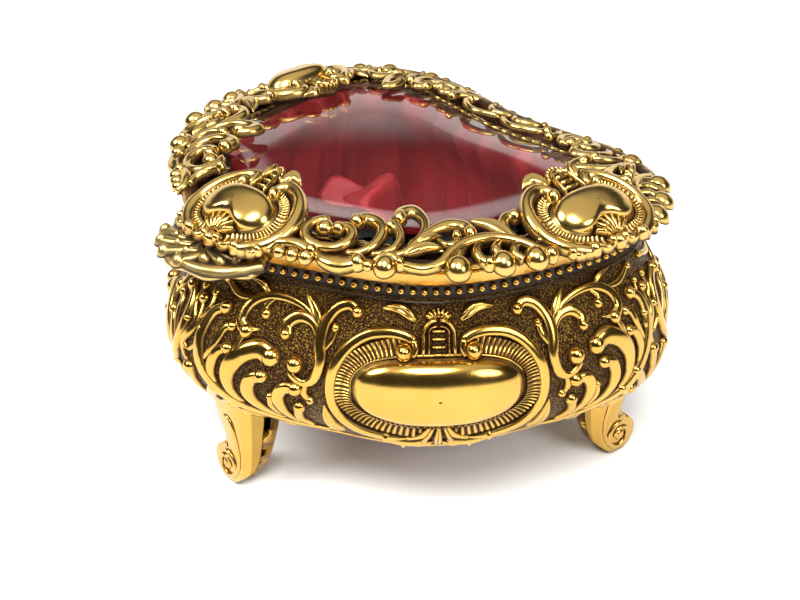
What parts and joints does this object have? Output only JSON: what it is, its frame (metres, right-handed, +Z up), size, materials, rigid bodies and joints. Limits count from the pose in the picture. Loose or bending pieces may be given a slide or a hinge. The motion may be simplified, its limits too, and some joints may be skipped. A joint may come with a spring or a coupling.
{
  "type": "trinket box",
  "caption": "Heart-shaped footed trinket box in cast gilt metal with a hinged lid, pierced scroll rim, bevelled glass and a padded velvet lining.",
  "frame": {"origin": "centre of the bounding box in plan, on the plane the three feet stand on", "axes": "+X to the right of someone facing the tip of the heart from inside the box, towards one lobe; +Y from the tip to the cleft, where the hinge is; +Z up"},
  "size_m": [0.1342, 0.1178, 0.0828],
  "materials": {
    "antique_gilt": "polished antique gilt with dark recesses",
    "pale_gilt": "worn pale gilt",
    "brass": "satin",
    "steel": "satin",
    "glass": "clear, bevelled",
    "velvet": "deep red velvet",
    "felt": "dark felt",
    "board": "plain card board"
  },
  "bodies": {
    "base": {"body_shell": "antique_gilt", "foot_tip": "antique_gilt", "foot_left": "antique_gilt", "foot_right": "antique_gilt", "base_plate": "brass", "base_felt": "felt", "base_screw_1": "steel", "base_screw_2": "steel", "base_screw_3": "steel", "floor_board": "board", "floor_pad": "velvet", "wall_lining": "velvet", "hinge_leaf_lower": "brass", "hinge_pin": "steel", "rivet_lower_left": "brass", "rivet_lower_right": "brass"},
    "lid": {"lid_frame": "antique_gilt", "medallion_tip": "antique_gilt", "medallion_left": "antique_gilt", "medallion_right": "antique_gilt", "glass_pane": "glass", "glass_bezel": "antique_gilt", "front_lip": "pale_gilt", "hinge_leaf_upper": "brass", "rivet_upper_left": "brass", "rivet_upper_right": "brass"}
  },
  "joints": [
    {"name": "lid_hinge", "type": "hinge", "parent": "base", "child": "lid", "pos_m": [0, 0.0547, 0.0689], "axis": [-1, 0, 0], "range_deg": [0, 100]}
  ]
}
